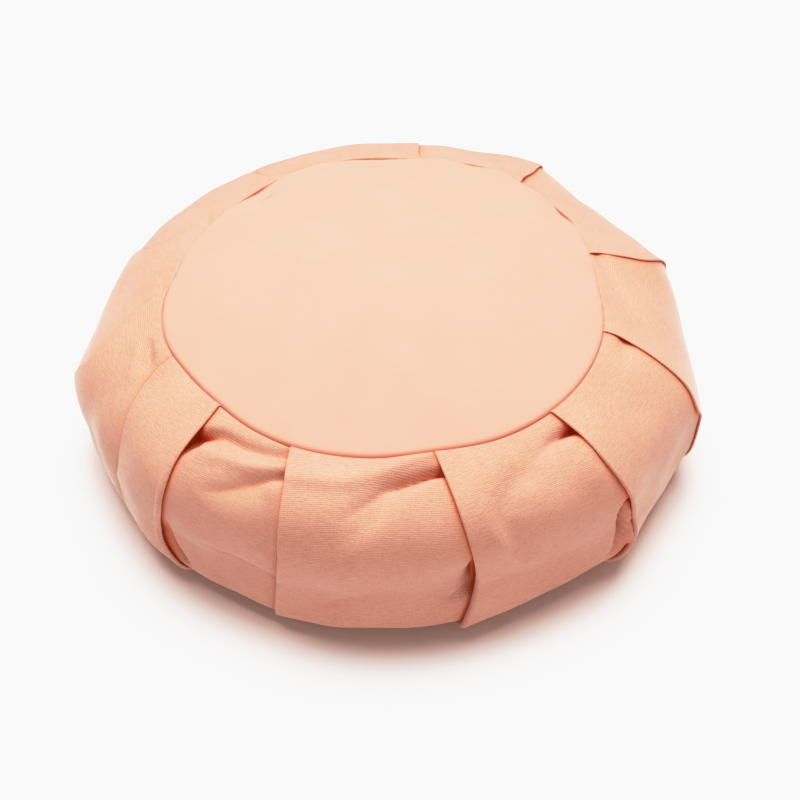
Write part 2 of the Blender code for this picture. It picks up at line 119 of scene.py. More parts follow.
# Soft troughs and ridges over a panel, each from place to place: an angle, a share of the side, a
# depth in mm, and how wide it is to the left and to the right of the way it runs, seen from outside.
# A negative depth is a ridge. Sharp is 0 for a soft hollow, 1 for a crease.
Crease = namedtuple("Crease", "panel sharp run")
CREASES = (
    # The panel after the flap: a strip by the seam, a deep fold that starts under the flap, a ridge
    # below it, a second fold in from the front left pleat, and a soft line low down.
    Crease(FLAP, 0.3, (
        (-44.6, 0.143, 9, 4, 8), (-43.6, 0.122, 9, 4, 8), (-43.4, 0.107, 9, 4, 8),
        (-42.3, 0.092, 8, 4, 8), (-40.8, 0.077, 6.5, 4, 9), (-38.4, 0.064, 5, 4, 9),
        (-35.2, 0.061, 4.4, 4.5, 9), (-32.2, 0.06, 4, 5, 8), (-29.4, 0.054, 4, 5.5, 7),
        (-26, 0.048, 4, 6, 6), (-22.5, 0.037, 4, 6, 5), (-18.6, 0.033, 4, 6, 5),
    )),
    Crease(FLAP, 0, (
        (-41.4, 0.139, -0.5, 8, 8), (-38.8, 0.133, -1.5, 7, 7), (-33.6, 0.115, -2.4, 7, 7),
        (-28.4, 0.105, -2.6, 7, 7), (-22.6, 0.084, -2.4, 7, 7), (-17.8, 0.068, -2.4, 7, 7),
    )),
    Crease(FLAP, 0.5, (
        (-17.3, 0.093, 6, 5, 5), (-19.8, 0.096, 6, 5, 5), (-21.4, 0.104, 5.5, 5, 5),
        (-24.1, 0.121, 4.6, 7, 6), (-26.4, 0.142, 5, 16, 7), (-28.6, 0.168, 5, 22, 8),
        (-30.8, 0.198, 4.6, 26, 9), (-33.4, 0.227, 3.4, 26, 9), (-36.6, 0.26, 0, 22, 9),
    )),
    Crease(FLAP, 0.5, (
        (-37, 0.479, 0, 1.5, 5), (-34.6, 0.487, 0.5, 1.5, 5), (-31.4, 0.495, 0.9, 1.5, 5),
        (-28.6, 0.496, 1, 1.5, 5), (-24.9, 0.509, 1, 1.5, 5), (-20.8, 0.53, 1, 1.5, 5),
        (-18.8, 0.542, 1, 1.5, 5),
    )),
    Crease(FLAP, 0, ((-22.6, 0.2, 1, 8, 8), (-22, 0.285, 1.5, 8, 8), (-22.2, 0.369, 1, 8, 8))),
    Crease(FLAP, 0.05, (
        (-43.4, 0.449, 0, 2.5, 3), (-43.8, 0.509, 1.6, 2.5, 3), (-43.8, 0.557, 4.6, 2.5, 3.5),
        (-43.2, 0.601, 7, 2.5, 4), (-42.4, 0.639, 7, 3, 4), (-41.6, 0.671, 5, 3, 3.5),
        (-40, 0.676, 0, 3, 3),
    )),
    # The panel after the front left fold: a long fold sweeps down from the front right pleat, and
    # the cloth sinks into a pocket at that pleat's foot.
    Crease("front left", 0.5, (
        (14.7, 0.071, 8, 3.4, 3), (11.4, 0.064, 8, 3.4, 3), (8.6, 0.065, 7, 3.6, 3),
        (5.6, 0.075, 6, 4, 3.5), (2.8, 0.086, 5, 4.5, 4), (0.5, 0.097, 4, 5, 4.5),
        (-1.4, 0.113, 2.8, 6, 5), (-3, 0.133, 2.2, 6, 5), (-5.2, 0.16, 1.6, 6, 6),
        (-7.4, 0.19, 1, 6, 6), (-9.3, 0.22, 0, 6, 6),
    )),
    Crease("front left", 0, (
        (14.5, 0.081, 1, 4, 6), (11.2, 0.072, 1.6, 4, 6), (6.9, 0.081, 2.8, 5, 7),
        (2.6, 0.101, 4.2, 5, 10), (0.5, 0.129, 3.8, 6, 13), (-1.8, 0.168, 3.6, 7, 16),
        (-3.9, 0.202, 3.2, 8, 18), (-6.4, 0.243, 2.6, 9, 18), (-9, 0.284, 1.8, 10, 18),
        (-10.3, 0.324, 1, 10, 16), (-11.2, 0.372, 0, 10, 14),
    )),
    Crease("front left", 0, (
        (-20.8, 0.1, -1.5, 10, 7), (-14.2, 0.09, -2.4, 10, 7), (-8, 0.08, -2.6, 10, 7),
        (-0.7, 0.047, -2.6, 8, 6), (4.8, 0.023, -2.4, 7, 5), (9.9, 0.011, -2, 5, 5),
    )),
    Crease("front left", 0.1, (
        (14.7, 0.372, 0, 5, 3), (14.4, 0.417, 2.5, 5, 3.5), (14.2, 0.462, 5, 6, 5),
        (14, 0.511, 5.5, 6, 7), (13.6, 0.551, 3.5, 6, 7), (13.2, 0.588, 1, 5, 6),
        (12.8, 0.628, 0, 5, 5),
    )),
    Crease("front left", 0, ((13.6, 0.573, 2.5, 5, 6), (10.8, 0.584, 1.6, 5, 6), (8.6, 0.588, 0, 5, 5))),
    Crease("front left", 0.3, (
        (-13.7, 0.618, 0, 4, 4), (-12, 0.605, 0.8, 4, 4), (-10, 0.575, 0.8, 4, 4),
        (-7.8, 0.552, 0.5, 4, 4), (-5.6, 0.532, 0, 5, 5),
    )),
    # The panel after the front right fold: a short fold in from the next pleat, a broad hollow, and
    # the cloth's end, which curls over into the next pleat's open foot.
    Crease("front right", 0.5, (
        (44.8, 0.098, 9, 4, 5), (41.8, 0.078, 8.5, 4.5, 5), (39.4, 0.078, 6, 5, 5.5),
        (37.2, 0.079, 4, 6, 6), (33.2, 0.093, 1.5, 8, 8), (30, 0.106, 0, 8, 8),
    )),
    Crease("front right", 0, (
        (30.2, 0.103, 1.4, 11, 11), (28, 0.13, 2.6, 12, 12), (25.4, 0.146, 3, 12, 12),
        (23, 0.174, 3, 12, 11), (21.6, 0.214, 3, 12, 10), (20.8, 0.258, 2.8, 11, 9),
        (21.6, 0.322, 2.4, 10, 8), (22.8, 0.398, 1.6, 9, 8), (24.2, 0.483, 0, 8, 8),
    )),
    Crease("front right", 0, (
        (18.2, 0.168, 0, 6, 6), (18.3, 0.237, -1, 6, 6), (18.9, 0.307, -1.6, 6, 6),
        (20.2, 0.371, -1.4, 6, 6), (21.7, 0.437, -0.8, 6, 6), (23.2, 0.511, 0, 6, 6),
    )),
    Crease("front right", 0, (
        (43.5, 0.152, -1, 8, 8), (40.8, 0.19, -1.8, 9, 9), (40.4, 0.26, -1.6, 9, 9),
        (39.8, 0.326, 0, 9, 9),
    )),
    Crease("front right", 0.05, (
        (45.6, 0.398, 0, 2, 2), (44.8, 0.419, 6, 2.4, 2), (44.4, 0.448, 9, 2.4, 2.4),
        (44.4, 0.507, 11, 2.8, 2.6), (44.7, 0.57, 9, 2.8, 3), (44.4, 0.62, 6, 3.4, 3.4),
        (43.6, 0.664, 3, 4, 3), (41.8, 0.671, 0, 4, 3),
    )),
    Crease("front right", 0.05, (
        (45.6, 0.412, 0, 1.2, 1.2), (45.2, 0.436, -3, 1.2, 1.2), (45.2, 0.473, -5.5, 1.3, 1.3),
        (45.4, 0.525, -6.5, 1.3, 1.3), (45.8, 0.573, -6, 1.3, 1.3), (46.2, 0.616, -4, 1.3, 1.3),
        (46.2, 0.654, 0, 1.2, 1.2),
    )),
    # The rest: short folds where cloth is caught under a pleat near the seam, and broad shallow hollows.
    Crease("right front", 0, (
        (77.1, 0.065, 1.5, 5, 5), (73.1, 0.069, 2, 6, 6), (70.3, 0.075, 1.8, 7, 7),
        (65.1, 0.09, 0, 9, 9),
    )),
    Crease("right front", 0, (
        (47.2, 0.149, 0, 14, 14), (53.8, 0.163, 1.2, 18, 18), (62.4, 0.21, 1.2, 18, 18),
        (67.7, 0.29, 0, 16, 16),
    )),
    Crease("right", 0, (
        (109.5, 0.018, 0.5, 4, 4), (102.3, 0.033, 1.2, 5, 5), (96.1, 0.052, 1.4, 6, 6),
        (89.8, 0.078, 1.2, 7, 7), (85.2, 0.129, 0, 10, 10),
    )),
    Crease("right", 0, ((104.9, 0.058, -0.8, 6, 6), (96.5, 0.092, -1, 8, 8), (89.9, 0.142, 0, 9, 9))),
    Crease("right back", 0, ((142.2, 0.039, 0.8, 5, 5), (137, 0.054, 1.2, 7, 7), (129.2, 0.088, 0, 9, 9))),
    Crease("back right", 0, ((174.9, 0.028, 1, 5, 5), (168.6, 0.04, 0.8, 7, 7), (161.2, 0.062, 0, 9, 9))),
    Crease("back", 0, ((212.5, 0.032, 1, 5, 5), (206.7, 0.048, 0.8, 7, 7), (196.7, 0.073, 0, 10, 10))),
    Crease("back left", 0, ((243.8, 0.031, 2.2, 4, 4), (239, 0.044, 1.8, 5, 5), (234.5, 0.076, 0, 8, 8))),
    Crease("left back", 0, ((280, 0.072, 1.6, 5, 5), (272.4, 0.086, 1.2, 7, 7), (265, 0.128, 0, 10, 10))),
    Crease("left back", 0.3, ((270.5, 0.022, 2, 3, 3), (267.6, 0.028, 1.4, 4, 4), (262.8, 0.043, 0, 5, 5))),
    Crease("left", 0, (
        (284.8, 0.052, 0, 5, 5), (287.2, 0.056, 2.4, 5, 5), (289.8, 0.065, 3, 5, 5),
        (292, 0.08, 2.6, 5, 5), (294.2, 0.1, 0, 5, 5),
    )),
    Crease("left", 0, (
        (290, 0.18, 0, 19, 19), (290.5, 0.3, 1.6, 19, 19), (291, 0.45, 2.6, 19, 19),
        (291, 0.6, 2.4, 19, 19), (291, 0.8, 0, 19, 19),
    )),
    Crease("left", 0, ((292, 0.05, 0, 5, 5), (289, 0.04, -1, 5, 5), (286, 0.024, 0, 5, 5))),
    Crease("left", 0, ((292.5, 0.136, -1.6, 8, 8), (287.2, 0.091, -1.6, 8, 8), (282.2, 0.081, 0, 9, 9))),
)

# How deep the seam's groove is at angles round the cushion, as a share of its rounded edges: at the
# back the two cloths press together but for short slits, where it is deeper than the edges are.
GROOVES = (
    (0, 1), (45, 1), (70, 0.8), (90, 0.5), (108, 0.35), (116, 0.3), (122, 2.2), (128, 0.3), (140, 0.12),
    (149, 0.15), (155, 1.8), (161, 0.15), (170, 0.12), (177, 1.5), (184, 2.4), (191, 1.5), (198, 0.12),
    (212, 0.1), (217, 1.4), (222, 2.6), (227, 1.4), (232, 0.1), (244, 0.1), (256, 0.4), (266, 0.7),
    (290, 0.9), (320, 1),
)


def ease(share):
    """A smooth step from 0 to 1."""
    return 0.5 - 0.5 * np.cos(np.pi * np.clip(share, 0, 1))


def bulge(share, power=0.8):
    """0 at either seam and 1 halfway between them."""
    return np.sin(np.pi * np.clip(share, 0, 1)) ** power


def curve_through(at, knots, values, period=None):
    """A smooth curve through values at knots, read at any places."""
    knots, values = np.asarray(knots, float), np.asarray(values, float)
    if period:
        knots = np.concatenate([knots - period, knots, knots + period])
        values = np.concatenate([values] * 3)
        at = knots[0] + period + (at - knots[0]) % period
    slopes = np.gradient(values, knots)
    k = np.clip(np.searchsorted(knots, at) - 1, 0, len(knots) - 2)
    width = knots[k + 1] - knots[k]
    t = np.clip((at - knots[k]) / width, 0, 1)
    ends = (1 + 2 * t) * (1 - t) ** 2 * values[k] + t**2 * (3 - 2 * t) * values[k + 1]
    return ends + width * (t * (1 - t) ** 2 * slopes[k] - t**2 * (1 - t) * slopes[k + 1])


def seam_radius(angle):
    return curve_through(angle, SEAM_ANGLES, np.array(SEAM_RADII) * MM, period=360)


def groove_depth(angle):
    return curve_through(angle, *np.array(GROOVES).T, period=360)


CURVE_POINTS, EVEN_POINTS = 2500, 2000  # so many that slopes read from them are smooth


def side_curve(profile):
    """A profile's curve at points even in share: radii, heights over the floor, and its length."""
    ratio = WAIST_RADIUS * SEAM_RATIO / profile.radius
    shares, radii, heights, length = [], [], [], 0
    for seam_share, seam_height, square in ((0, TOP_SEAM, profile.above), (1, BOTTOM_SEAM, profile.below)):
        turn = np.linspace(np.arccos(ratio ** (square / 2)), 0, CURVE_POINTS)
        half_axis = (seam_height - profile.height) / (1 - ratio**square) ** (1 / square)
        radii.append(profile.radius * np.cos(turn) ** (2 / square))
        heights.append(profile.height + half_axis * np.sin(turn) ** (2 / square))
        run = np.concatenate([[0], np.cumsum(np.hypot(np.diff(radii[-1]), np.diff(heights[-1])))])
        shares.append(seam_share + (profile.share - seam_share) * run / run[-1])
        length += run[-1]
    # Both halves run from their seam to the waist, so the lower one is turned round.
    shares, radii, heights = (
        np.concatenate([upper, lower[-2::-1]]) for upper, lower in (shares, radii, heights)
    )
    even = np.linspace(0, 1, EVEN_POINTS)
    return np.interp(even, shares, radii), np.interp(even, shares, heights), length


round_radii, round_heights, SIDE_LENGTH = side_curve(ROUND)
front_radii, front_heights, _ = side_curve(FRONT)
ROUND_SIDE = (round_radii, np.gradient(round_radii), round_heights, np.gradient(round_heights))
FRONT_SIDE = (front_radii, np.gradient(front_radii), front_heights, np.gradient(front_heights))


def side_form(share, angle=180):
    """The body's radius and height at an angle, and the outward and upward parts of its normal."""
    turned = np.abs((angle + 180) % 360 - 180)
    front = 1 - ease((turned - FRONT_REACH) / FRONT_SPREAD)
    places = np.clip(share, 0, 1) * (EVEN_POINTS - 1)
    steps = np.arange(EVEN_POINTS)
    radius, out_step, height, up_step = (
        np.interp(places, steps, at_round) * (1 - front) + np.interp(places, steps, at_front) * front
        for at_round, at_front in zip(ROUND_SIDE, FRONT_SIDE)
    )
    swell = bulge(share) * np.exp(-(((turned - CORNER) / CORNER_SPREAD) ** 2))
    length = np.hypot(out_step, up_step)
    return radius + CORNER_SWELL * swell, height, -up_step / length, out_step / length


def disc_point(angle, ratio, height, shift=(0, 0)):
    """A point at a share of a seam's radius."""
    radius, turn = seam_radius(angle) * ratio, np.radians(angle)
    x, y = shift[0] + radius * np.sin(turn), shift[1] - radius * np.cos(turn)
    return np.stack(np.broadcast_arrays(x, y, height), -1)


# The bottom disc stands centred under the waist, so its box in the frame says where the waist is.
BOTTOM_RATIO, BOTTOM_STEP = 0.993, 6.0  # its share of the seam's radius, and its corners' spacing
outline = disc_point(np.arange(0, 360, BOTTOM_STEP), BOTTOM_RATIO, 0)
WAIST_CENTRE = np.array(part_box("bottom_panel")[0]) - [*outline.min(axis=0)[:2], 0]


def side_point(angle, share, off, drop=0):
    """A point on the side, so far off the body, and then lowered by drop."""
    radius, height, out, up = side_form(share, angle)
    seamward = (1 - radius / WAIST_RADIUS) / (1 - SEAM_RATIO)
    uneven = seam_radius(angle) - WAIST_RADIUS * SEAM_RATIO
    reach = radius + seamward * uneven + off * out
    lean = np.clip((height - WAIST_HEIGHT) / (TOP_SEAM - WAIST_HEIGHT), 0, 1)
    x = reach * np.sin(np.radians(angle)) + lean * TOP_SHIFT[0]
    y = -reach * np.cos(np.radians(angle)) + lean * TOP_SHIFT[1]
    z = height + off * up - drop
    return np.stack(np.broadcast_arrays(x, y, z), -1) + WAIST_CENTRE


# Rows of points down the side: close together over the rounded edge at either seam, and a little
# wider apart low down, where the cloth is smoother.
EDGE_ROUND = 1.5 * MM
edge_turns = np.radians([0, 22, 45, 68, 90])
edge_down = EDGE_ROUND * (1 - np.cos(edge_turns))
edge_drop = EDGE_ROUND * (1 - np.sin(edge_turns))
near = np.array([2.3, 3.3, 4.4, 5.6, 6.9]) * MM
middle = np.concatenate([np.arange(8.3, 112, 1.4), np.arange(112, 176, 1.9)]) * MM
down = np.concatenate([edge_down, near, middle, SIDE_LENGTH - near[::-1], SIDE_LENGTH - edge_down[::-1]])
drop = np.concatenate([edge_drop, np.zeros(len(down) - 2 * len(edge_drop)), -edge_drop[::-1]])
share = down / SIDE_LENGTH

CREASE_STEPS = 12  # points along a crease's line for each place that is given


def crease_depth(panel, angle, share):
    """How far a panel's cloth is drawn in at each point, in all and by the sharp creases alone."""
    radius = WAIST_RADIUS * (1 + SEAM_RATIO) / 2
    total = np.zeros(np.broadcast(angle, share).shape)
    creased = total.copy()
    for crease in (crease for crease in CREASES if crease.panel == panel):
        knots = np.linspace(0, 1, len(crease.run))
        fine = np.linspace(0, 1, CREASE_STEPS * len(crease.run))
        angles, shares, depths, lefts, rights = (
            curve_through(fine, knots, values) for values in np.array(crease.run, float).T
        )
        aside = np.radians((angle[..., None] - angles + 180) % 360 - 180) * radius
        above = (shares - share[..., None]) * SIDE_LENGTH
        away = np.hypot(aside, above)
        nearest = away.argmin(axis=-1)
        away = away.min(axis=-1)
        aside = np.take_along_axis(aside, nearest[..., None], -1)[..., 0]
        above = np.take_along_axis(above, nearest[..., None], -1)[..., 0]
        run_aside, run_up = np.gradient(np.radians(angles) * radius), np.gradient(-shares * SIDE_LENGTH)
        leftward = run_aside[nearest] * above - run_up[nearest] * aside
        width = np.where(leftward > 0, lefts[nearest], rights[nearest]) * MM
        # Both die away at about the width, a soft hollow as a bell does and a crease from a sharp line.
        soft, keen = np.exp(-2 * (away / width) ** 2), np.exp(-2.6 * away / width)
        drawn_in = depths[nearest] * MM * ((1 - crease.sharp) * soft + crease.sharp * keen)
        total += drawn_in
        if crease.sharp > 0:
            creased += drawn_in
    return total, creased


def eased(waist_mm, sewn, share):
    """A value that eases from the seams, where the layers are sewn down, to what it is at the waist."""
    return sewn + bulge(share) * (waist_mm * MM - sewn)


def fold_angle(fold, share):
    return curve_through(share, SHARES, fold.line)


# The step a fold makes where it is sewn down, as a share of its height at the waist, and what its own
# cloth and the gap under it take of that step.
STEP_SHARE, STEP_THICK, STEP_OPEN = 0.6, 0.7, 0.3
# A foot rolls out, thickens and closes on the cloth under it, each from a share of the side and over
# so much more of it.
FOOT_OUT, FOOT_OUT_FROM, FOOT_OUT_OVER = 2 * MM, 0.5, 0.15
FOOT_THICK_FROM, FOOT_THICK_OVER = 0.36, 0.14
FOOT_SHUT, FOOT_SHUT_FROM, FOOT_SHUT_OVER = 0.8, 0.44, 0.1


def fold_levels(fold, share):
    """How far off the body lie a fold's top, its underside and the cloth that it covers."""
    step = min(SEWN_STEP, STEP_SHARE * (fold.thick + fold.open) * MM)
    roll = fold.foot * ease((share - FOOT_OUT_FROM) / FOOT_OUT_OVER)
    top = eased(fold.edge, step, share) + FOOT_OUT * roll
    swollen = 1 + fold.foot * ease((share - FOOT_THICK_FROM) / FOOT_THICK_OVER)
    thick = eased(fold.thick, STEP_THICK * step, share) * swollen
    gap = eased(fold.open, STEP_OPEN * step, share)
    if fold.foot > 0:
        gap = gap * (1 - FOOT_SHUT * ease((share - FOOT_SHUT_FROM) / FOOT_SHUT_OVER))
    return top, top - thick, top - thick - gap


TOP, COVERED = 0, 2  # of the levels that fold_levels gives


def to_degrees(length, share):
    return np.degrees(length / side_form(share)[0])


SEWN_BELLY = 0.8 * MM  # how far the middle of a panel stands out at the seams


def cloth_level(fold, after, angle, share):
    """How far off the body a panel's cloth lies, and how far sharp creases draw it in.

    The panel runs from its own fold to the one after it. At the flap, which laps the other way
    round, it goes from the covered cloth up to the top of the fold.
    """
    start, end = fold_angle(fold, share)[:, None], fold_angle(after, share)[:, None]
    across = (angle - start + 90) % 360 - 90
    across = np.clip(across / ((end - start) % 360), 0, 1)
    high = fold_levels(fold, share)[COVERED if fold.name == FLAP else TOP][:, None]
    low = fold_levels(after, share)[TOP if after.name == FLAP else COVERED][:, None]
    belly = (high + low) / 2 - eased(fold.middle, SEWN_BELLY, share)[:, None]
    drawn_in, creased = crease_depth(fold.name, angle, np.broadcast_to(share[:, None], angle.shape))
    return high + (low - high) * across - 4 * belly * across * (1 - across) - drawn_in, creased


# A fold's edge is a hook of cloth: how far along its tuck each point is, in over the covered cloth to
# the turn and back out on the fold's underside, then its rounded nose, and how much painted shade each gets.
HOOK_REACH = np.array([0.04, 0.12, 0.25, 0.45, 0.7, 1, 1, 0.7, 0.4])
HOOK_TURN = 5
NOSE_TURNS = np.radians([-70, -100, -130, -160, -180, -205, -232, -260])
HOOK_SHADE = (0.7, 0.8, 0.9, 1, 1, 1, 1, 1, 0.9, 0.7, 0.5, 0.35, 0.2, 0.1, 0.05, 0, 0)
HOOK_OPEN = 0.3  # of the fold's gap is kept between the two layers, at least
TURN_LIFT = 0.3  # of the way from the lower layer to the upper one, the turn lies


def hook(fold, own, covered, share):
    """A fold's edge, from the covered cloth, in under the fold and out round its rounded nose.

    Own and covered are the fold at either end of the panel it belongs to, and of the one it covers.
    Angles, how far off the body, and how much painted shade and glow each point gets, from 0 to 1.
    """
    top, under, gap_floor = (level[:, None] for level in fold_levels(fold, share))
    nose = (top - under) / 2
    edge = fold_angle(fold, share)[:, None]
    flip = -1 if fold.name == FLAP else 1
    reach = (SEWN_TUCK + (TUCK - SEWN_TUCK) * bulge(share, 0.5))[:, None] * HOOK_REACH
    reach_angles = edge + flip * to_degrees(reach, share[:, None])
    above = cloth_level(*own, reach_angles, share)[0] - (top - under)
    below = cloth_level(*covered, np.broadcast_to(edge, reach_angles.shape), share)[0]
    level = np.minimum(below, above - HOOK_OPEN * (under - gap_floor))
    level[:, HOOK_TURN] += TURN_LIFT * (above[:, HOOK_TURN] - level[:, HOOK_TURN])
    level[:, HOOK_TURN + 1 :] = above[:, HOOK_TURN + 1 :]
    round_angles = edge + flip * to_degrees(nose + nose * np.cos(NOSE_TURNS), share[:, None])
    round_level = cloth_level(*own, np.broadcast_to(edge, round_angles.shape), share)[0]
    round_level = round_level - nose + nose * np.sin(NOSE_TURNS)
    angles = np.concatenate([reach_angles, round_angles], axis=1)
    levels = np.concatenate([level, round_level], axis=1)
    sides = (angles, levels, np.broadcast_to(HOOK_SHADE, angles.shape))
    return tuple(side[:, ::-1] for side in sides) if fold.name == FLAP else sides


HEM_WIDTH, HEM_RISE, HEM_EDGE = 2.4 * MM, 0.5 * MM, 0.8 * MM  # the turned hem down the flap's edge
PANEL_STEPS = 60
PANEL_END = 0.008  # of a panel's width is left between its first point and the hook's last
# Painted shade on cloth right beside a fold that covers it, for the fold's overhang, and on cloth that a
# sharp crease draws in deep.
BESIDE_SHADE, BESIDE_WIDTH = 0.65, 1.6 * MM  # cloth right beside a fold that covers it is tinted too
CREASE_FROM, CREASE_OVER = 2.8 * MM, 5 * MM  # and so is cloth that a sharp crease draws in this deep
even = np.linspace(0, 1, PANEL_STEPS)
across = 0.25 * even + 0.75 * ease(even)  # closer together towards the folds
rng = np.random.default_rng(7)
WAVES = [(rng.normal(size=3), rng.uniform(0, 2 * np.pi), rng.uniform(26, 60) * MM) for _ in range(14)]
WAVE_HEIGHT = 0.13 * MM


def unevenness(points):
    """The filling's own soft lumps, about half a millimetre high."""
    total = np.zeros(points.shape[:-1])
    for heading, phase, length in WAVES:
        total += np.sin(points @ (heading / np.linalg.norm(heading)) * 2 * np.pi / length + phase)
    return WAVE_HEIGHT * total


def nose_width(fold, share):
    """How many degrees a fold's rounded edge takes."""
    top, under, _ = fold_levels(fold, share)
    return to_degrees((top - under) / 2, share)[:, None]


def panel_cloth(fold, after, share):
    """A panel's cloth between its own fold and the next: angles, how far off the body, how much painted
    shade.
    """
    start, end = fold_angle(fold, share)[:, None], fold_angle(after, share)[:, None]
    width = (end - start) % 360
    first = 0 if fold.name == FLAP else nose_width(fold, share)
    last = nose_width(after, share) if after.name == FLAP else 0
    angle = start + first + (width - first - last) * (PANEL_END + across * (1 - 2 * PANEL_END))
    off, creased = cloth_level(fold, after, angle, share)
    run = np.radians(width) * side_form(share)[0][:, None]
    shade_and_glow = ease((creased - CREASE_FROM) / CREASE_OVER)
    if after.name == FLAP:
        off = off + HEM_RISE * ease((HEM_WIDTH - run * (1 - across)) / HEM_EDGE + 0.5)
    else:
        shade_and_glow = shade_and_glow + BESIDE_SHADE * np.exp(-run * (1 - across) / BESIDE_WIDTH)
    if fold.name == FLAP:
        shade_and_glow = shade_and_glow + BESIDE_SHADE * np.exp(-run * across / BESIDE_WIDTH)
    return angle, off, np.clip(shade_and_glow, 0, 1)


def new_piece(name, points, faces, uvs):
    """A mesh object whose place is in its mesh, smooth, with a UV map that follows the weave."""
    data = bpy.data.meshes.new(name)
    data.from_pydata(points.tolist(), [], [tuple(face) for face in faces])
    layer = data.uv_layers.new(name="weave")
    corners = np.array([loop.vertex_index for loop in data.loops])
    layer.data.foreach_set("uv", uvs[corners].ravel())
    data.shade_smooth()
    piece = bpy.data.objects.new(name, data)
    bpy.context.scene.collection.objects.link(piece)
    return piece


def mark_painted_shade(piece, values):
    """How much painted shade and glow each point of a piece gets, for its material."""
    piece.data.attributes.new("shade_and_glow", "FLOAT", "POINT").data.foreach_set("value", values)


def closed_shell(rings, tips):
    """Points and faces through rings of points that close round, and a tip at the first and last."""
    rings = np.array(rings)
    columns = rings.shape[1]
    points = np.concatenate([rings.reshape(-1, 3), tips])
    last = (len(rings) - 1) * columns
    first_tip, last_tip = len(points) - 2, len(points) - 1
    here = np.arange(columns)
    after = (here + 1) % columns
    base = columns * np.arange(len(rings) - 1)[:, None]
    quads = np.stack([base + here, base + columns + here, base + columns + after, base + after], -1)
    faces = quads.reshape(-1, 4).tolist()
    for k in range(columns):
        following = (k + 1) % columns
        faces.append((first_tip, k, following))
        faces.append((last_tip, last + following, last + k))
    return points, faces


# Each fold's hook and then its panel, all the way round. The weave runs straight across each panel,
# and not along the side's bowed rows, so its rows are straightened by how far the side bows.
WEAVE_RADIUS = 150 * MM
angle_parts, off_parts, weave_parts, shade_and_glow_parts = [], [], [], []
radius_down = side_form(share)[0][:, None]
bow = np.gradient(side_form(share)[0], down)[:, None] / radius_down
for before, fold, after in zip((FOLDS[-1], *FOLDS), FOLDS, (*FOLDS[1:], FOLDS[0])):
    panels = ((before, fold), (fold, after))
    own, covered = panels if fold.name == FLAP else panels[::-1]
    for home, (angles, offs, shade_and_glow) in (
        (own, hook(fold, own, covered, share)),
        ((fold, after), panel_cloth(fold, after, share)),
    ):
        start, end = fold_angle(home[0], share)[:, None], fold_angle(home[1], share)[:, None]
        width = (end - start) % 360
        side_on = np.radians((angles - (start + width / 2) + 180) % 360 - 180) * radius_down
        half = np.radians(width / 2) * radius_down
        straightened = down[:, None] + bow / 2 * (half**2 - side_on**2)
        weave_parts.append(np.stack([np.radians(angles) * WEAVE_RADIUS, straightened], -1))
        angle_parts.append(angles)
        off_parts.append(offs)
        shade_and_glow_parts.append(shade_and_glow)
angles = np.concatenate(angle_parts, axis=1)
offs = np.concatenate(off_parts, axis=1)
weave = np.concatenate(weave_parts, axis=1)
shade_and_glow = np.concatenate(shade_and_glow_parts, axis=1)

# Painted shade in the seams: the band's edges are darkened there as far as the groove is full.
SEAM_SHADE = 0.5  # how far in the band's edges in the seams look, where the groove is full
SETTLE = 12 * MM  # from a seam to where the filling's lumps show in full
ON_FLOOR = 0.1 * MM  # the floor presses flat what would reach below it
groove = groove_depth(angles[0])
shade_and_glow = np.maximum(shade_and_glow, SEAM_SHADE * np.clip(np.outer(drop / EDGE_ROUND, groove), 0, 1))
body = side_point(angles, share[:, None], 0)
settled = np.minimum(1, np.minimum(down, SIDE_LENGTH - down) / SETTLE)[:, None]
sheet = side_point(angles, share[:, None], offs + settled * unevenness(body), drop[:, None] * groove)
sheet[..., 2] = np.maximum(sheet[..., 2], ON_FLOOR)

# Inside the seams the cloth turns down and in, out of sight under the discs.
DISC_THICK = 2 * MM
CLEAR = 0.3 * MM
CROWN = 14.5 * MM  # how far the filling lifts the middle of the top disc
UNDER_TOP, OVER_BOTTOM = TOP_SEAM - DISC_THICK - 2 * CLEAR, DISC_THICK + CLEAR
ring_angles = np.degrees(np.maximum.accumulate(np.unwrap(np.radians(angles[0]))))
above = [
    disc_point(ring_angles, ratio, UNDER_TOP + CROWN * (1 - ratio**2), TOP_SHIFT) + WAIST_CENTRE
    for ratio in (0.3, 0.7, 0.95)
]
below = [disc_point(ring_angles, ratio, OVER_BOTTOM) + WAIST_CENTRE for ratio in (0.95, 0.4)]
tips = WAIST_CENTRE + [[*TOP_SHIFT, UNDER_TOP + CROWN], [0, 0, OVER_BOTTOM]]
points, faces = closed_shell([*above, *sheet, *below], tips)
weave = np.concatenate([*[weave[:1]] * len(above), weave, *[weave[-1:]] * len(below)])
weave = np.concatenate([weave.reshape(-1, 2), np.zeros((len(tips), 2))])
side_band = new_piece("side_band", points, faces, weave)
hidden = np.ones(shade_and_glow.shape[1])
shade_and_glow = np.concatenate([[hidden] * len(above), shade_and_glow, [hidden] * len(below)])
mark_painted_shade(side_band, np.concatenate([shade_and_glow.ravel(), np.ones(len(tips))]))


def linear(hex_colour):
    """An sRGB hex colour as linear red, green, blue and alpha."""
    values = np.array([int(hex_colour[k : k + 2], 16) for k in (1, 3, 5)]) / 255
    return (*np.where(values <= 0.04045, values / 12.92, ((values + 0.055) / 1.055) ** 2.4), 1)


def add(tree, kind, inputs=None, **settings):
    """A node with its settings, and its sockets set or, where the value is a socket, linked."""
    node = tree.nodes.new("ShaderNode" + kind)
    for name, value in settings.items():
        setattr(node, name, value)
    for name, value in (inputs or {}).items():
        if isinstance(value, bpy.types.NodeSocket):
            tree.links.new(value, node.inputs[name])
        else:
            node.inputs[name].default_value = value
    return node


